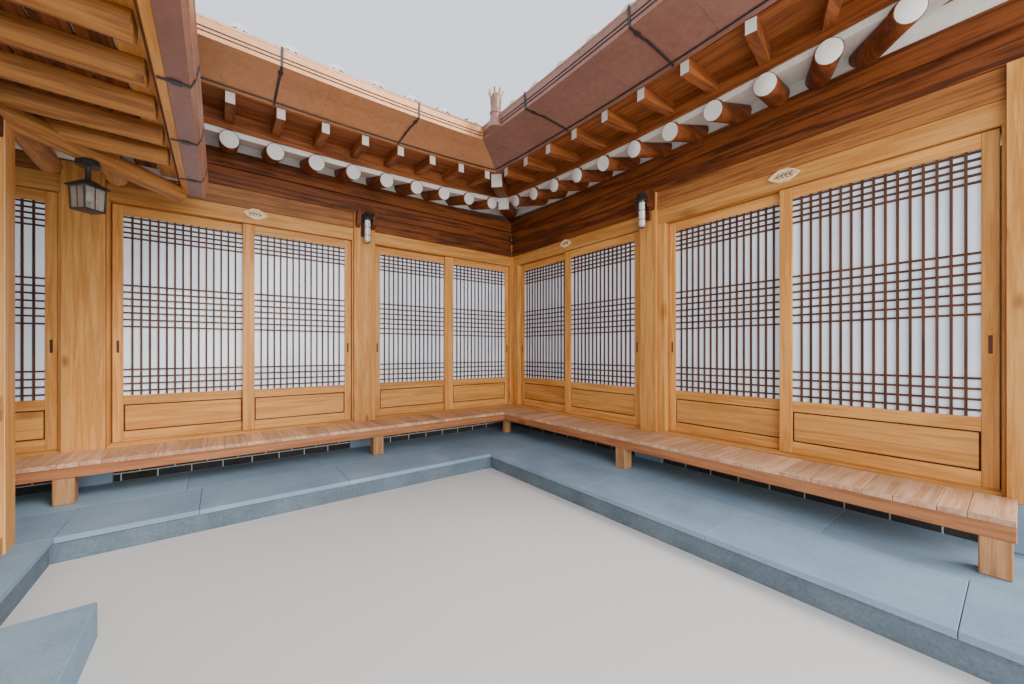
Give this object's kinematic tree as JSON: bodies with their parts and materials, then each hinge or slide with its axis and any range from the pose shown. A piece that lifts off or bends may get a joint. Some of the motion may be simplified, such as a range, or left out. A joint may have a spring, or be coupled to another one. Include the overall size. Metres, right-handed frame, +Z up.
{
  "type": "courtyard house",
  "caption": "U-shaped timber courtyard house with tiled hipped roofs, raised veranda benches, sliding lattice doors, log rafters and copper gutters on a stone platform.",
  "frame": {"origin": "on the underside of the stone platform, straight below the inner corner of the yard where the two door walls meet", "axes": "+Z up; -X along the back wing away from the inner corner; -Y along the right wing away from the inner corner, towards the open side of the yard"},
  "size_m": [10.552, 9.492, 4.75],
  "materials": {
    "granite": "flamed blue-grey slabs",
    "floor_timber": "oiled boards",
    "black_brick": "fired black brick with light joints",
    "honey_timber": "satin stained softwood",
    "dark_timber": "satin stained softwood",
    "cedar_boards": "satin reddish boards",
    "roof_tile": "matt fired clay tile",
    "copper_sheet": "red-brown sheet, satin",
    "plaster": "matt white lime plaster",
    "window_paper": "white paper on a lattice sash",
    "lamp_metal": "black satin"
  },
  "bodies": {
    "house": {"platform_back": "granite", "platform_right": "granite", "platform_left": "granite", "floor_back": "floor_timber", "floor_right": "floor_timber", "brick_skirt_back": "black_brick", "brick_skirt_right": "black_brick", "column_corner": "honey_timber", "column_back_1": "honey_timber", "column_back_2": "honey_timber", "column_right_1": "honey_timber", "column_right_2": "honey_timber", "door_frame_back_1": "honey_timber", "door_frame_back_2": "honey_timber", "door_frame_back_3": "honey_timber", "door_frame_right_1": "honey_timber", "door_frame_right_2": "honey_timber", "maru_right": "cedar_boards", "maru_back": "cedar_boards", "eave_beam_back": "dark_timber", "eave_beam_right": "dark_timber", "valley_rafter": "dark_timber", "hip_rafter": "dark_timber", "rafters_back": "dark_timber", "rafters_right": "dark_timber", "flying_rafters_back": "dark_timber", "flying_rafters_right": "dark_timber", "roof_back": "roof_tile", "roof_right": "roof_tile", "ridge_back": "roof_tile", "ridge_right": "roof_tile", "gutter_back": "copper_sheet", "gutter_right": "copper_sheet", "wall_north": "plaster", "wall_east": "plaster", "wall_south": "plaster", "wall_west": "plaster", "window_north": "window_paper", "window_east": "window_paper", "window_south": "window_paper", "roof_left": "roof_tile", "walls_left": "plaster", "window_left": "window_paper", "door_left": "honey_timber", "ridge_left": "roof_tile", "gutter_left": "copper_sheet", "lamp_back": "lamp_metal", "lamp_right": "lamp_metal", "lantern": "lamp_metal"},
    "leaf_back_1_near": {"leaf_back_1_near": "honey_timber"},
    "leaf_back_1_far": {"leaf_back_1_far": "honey_timber"},
    "leaf_back_2_near": {"leaf_back_2_near": "honey_timber"},
    "leaf_back_2_far": {"leaf_back_2_far": "honey_timber"},
    "leaf_back_3_near": {"leaf_back_3_near": "honey_timber"},
    "leaf_back_3_far": {"leaf_back_3_far": "honey_timber"},
    "leaf_right_1_near": {"leaf_right_1_near": "honey_timber"},
    "leaf_right_1_far": {"leaf_right_1_far": "honey_timber"},
    "leaf_right_2_near": {"leaf_right_2_near": "honey_timber"},
    "leaf_right_2_far": {"leaf_right_2_far": "honey_timber"}
  },
  "joints": [
    {"name": "slide_back_1_near", "type": "slide", "parent": "house", "child": "leaf_back_1_near", "axis": [-1, 0, 0], "range_m": [0, 0.84]},
    {"name": "slide_back_1_far", "type": "slide", "parent": "house", "child": "leaf_back_1_far", "axis": [1, 0, 0], "range_m": [0, 0.84]},
    {"name": "slide_back_2_near", "type": "slide", "parent": "house", "child": "leaf_back_2_near", "axis": [-1, 0, 0], "range_m": [0, 0.84]},
    {"name": "slide_back_2_far", "type": "slide", "parent": "house", "child": "leaf_back_2_far", "axis": [1, 0, 0], "range_m": [0, 0.84]},
    {"name": "slide_back_3_near", "type": "slide", "parent": "house", "child": "leaf_back_3_near", "axis": [-1, 0, 0], "range_m": [0, 0.85]},
    {"name": "slide_back_3_far", "type": "slide", "parent": "house", "child": "leaf_back_3_far", "axis": [1, 0, 0], "range_m": [0, 0.85]},
    {"name": "slide_right_1_near", "type": "slide", "parent": "house", "child": "leaf_right_1_near", "axis": [0, -1, 0], "range_m": [0, 0.87]},
    {"name": "slide_right_1_far", "type": "slide", "parent": "house", "child": "leaf_right_1_far", "axis": [0, 1, 0], "range_m": [0, 0.87]},
    {"name": "slide_right_2_near", "type": "slide", "parent": "house", "child": "leaf_right_2_near", "axis": [0, -1, 0], "range_m": [0, 0.87]},
    {"name": "slide_right_2_far", "type": "slide", "parent": "house", "child": "leaf_right_2_far", "axis": [0, 1, 0], "range_m": [0, 0.87]}
  ]
}
